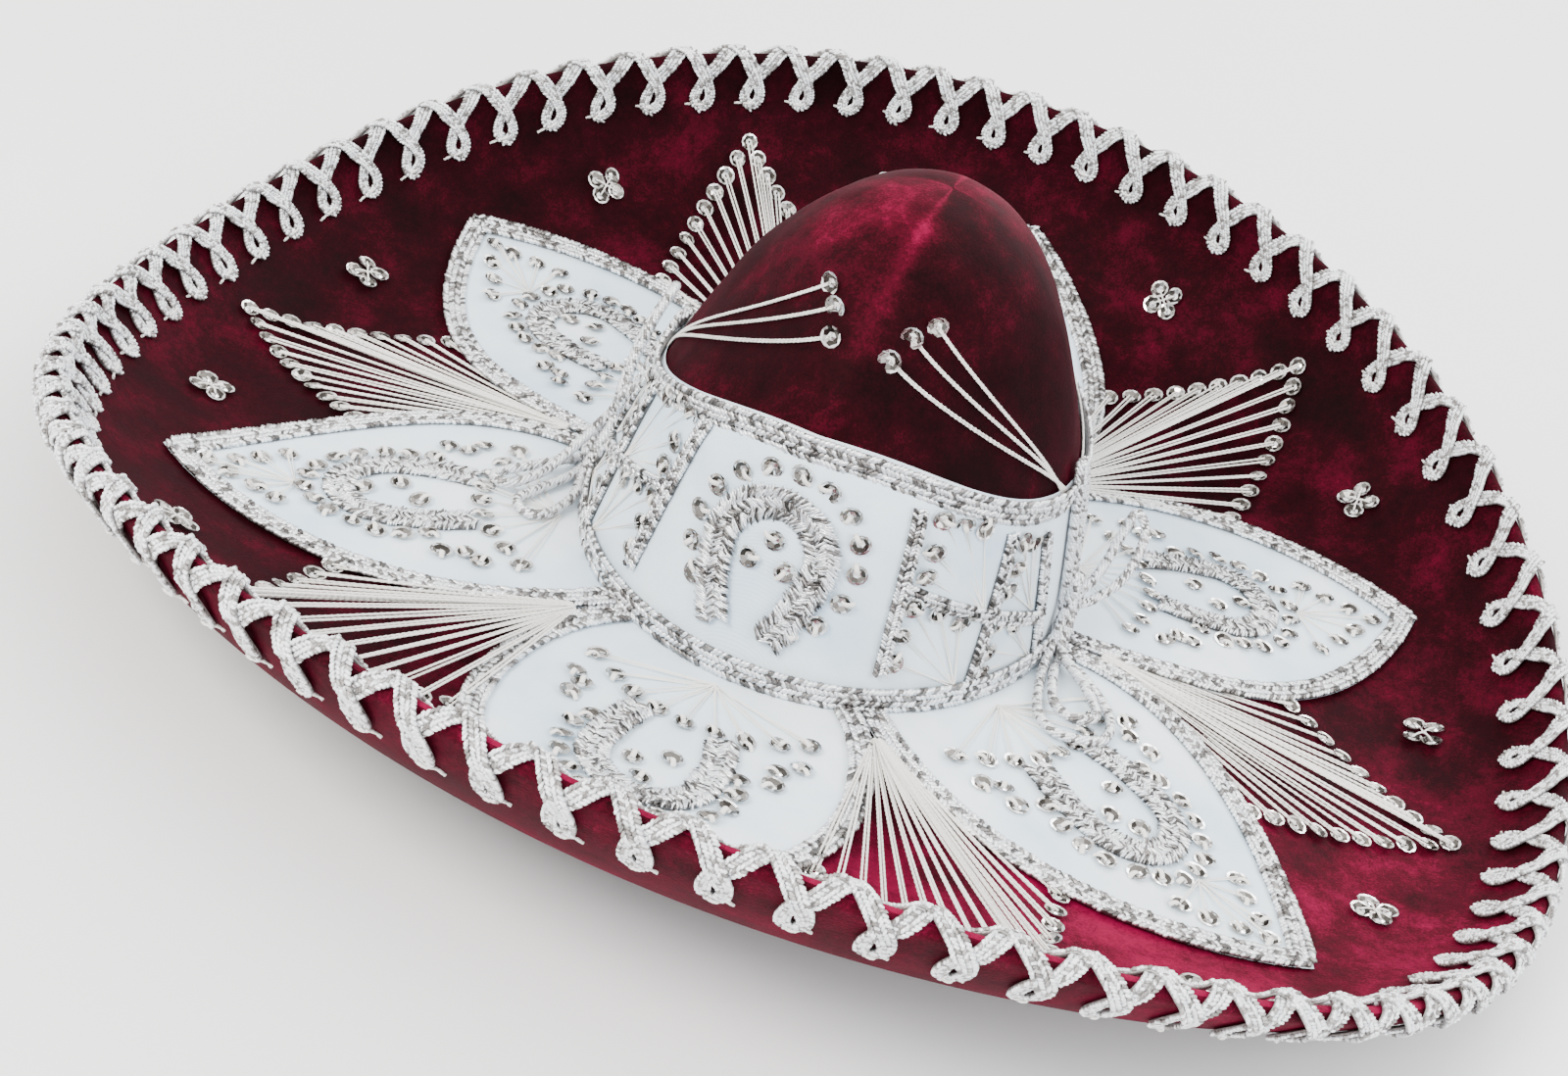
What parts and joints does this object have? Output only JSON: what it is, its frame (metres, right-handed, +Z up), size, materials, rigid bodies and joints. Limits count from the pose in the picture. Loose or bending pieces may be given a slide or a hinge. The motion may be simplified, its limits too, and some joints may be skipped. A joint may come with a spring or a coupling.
{
  "type": "sombrero",
  "caption": "Wide-brimmed velvet sombrero with an upturned board brim, dented crown, white petal appliques, thread fans, sequins, and silver braid laced over the rim.",
  "frame": {"origin": "under the middle of the hat's outline, at the height of the surface that the brim lies on", "axes": "+Z up through the crown, +X to the wearer's left along the brim's low ends, -Y to the front of the hat"},
  "size_m": [0.5794, 0.5684, 0.1743],
  "materials": {
    "velvet": "crushed burgundy velvet, blotchy nap with a crimson sheen",
    "stiff_board": "pressed stiff hat board",
    "steel_wire": "drawn wire",
    "lining": "thin satin lining",
    "sweatband_leather": "smooth thin leather",
    "white_cloth": "plain woven white cloth",
    "sequin": "faceted silver foil film",
    "white_yarn": "twisted off-white yarn",
    "silver_cord": "twisted metallic silver cord",
    "silver_embroidery": "padded metallic chain stitch",
    "silver_braid": "flat metallic silver braid"
  },
  "bodies": {
    "root": {"band_bottom_braid": "silver_braid", "band_h_back_left": "silver_embroidery", "band_h_back_right": "silver_embroidery", "band_h_front_left": "silver_embroidery", "band_h_front_right": "silver_embroidery", "band_horseshoe_back": "silver_embroidery", "band_horseshoe_front": "silver_embroidery", "band_sequins": "sequin", "band_top_braid": "silver_braid", "bow_left": "silver_cord", "bow_right": "silver_cord", "brim_board": "stiff_board", "brim_top_velvet": "velvet", "brim_under_velvet": "velvet", "crown_lining": "lining", "crown_sequins": "sequin", "crown_shell": "stiff_board", "crown_threads": "white_yarn", "crown_velvet": "velvet", "fan_sequins": "sequin", "flower_sequins": "sequin", "hatband": "white_cloth", "petal_1": "white_cloth", "petal_2": "white_cloth", "petal_3": "white_cloth", "petal_4": "white_cloth", "petal_5": "white_cloth", "petal_6": "white_cloth", "petal_edging_1": "silver_braid", "petal_edging_2": "silver_braid", "petal_edging_3": "silver_braid", "petal_edging_4": "silver_braid", "petal_edging_5": "silver_braid", "petal_edging_6": "silver_braid", "petal_horseshoe_1": "silver_embroidery", "petal_horseshoe_2": "silver_embroidery", "petal_horseshoe_3": "silver_embroidery", "petal_horseshoe_4": "silver_embroidery", "petal_horseshoe_5": "silver_embroidery", "petal_horseshoe_6": "silver_embroidery", "petal_sequins": "sequin", "rim_braid": "silver_braid", "rim_stitches": "white_yarn", "rim_wire": "steel_wire", "seam_cords_left": "silver_cord", "seam_cords_right": "silver_cord", "sweatband": "sweatband_leather", "thread_fan_1": "white_yarn", "thread_fan_2": "white_yarn", "thread_fan_3": "white_yarn", "thread_fan_4": "white_yarn", "thread_fan_5": "white_yarn", "thread_fan_6": "white_yarn"}
  },
  "joints": []
}
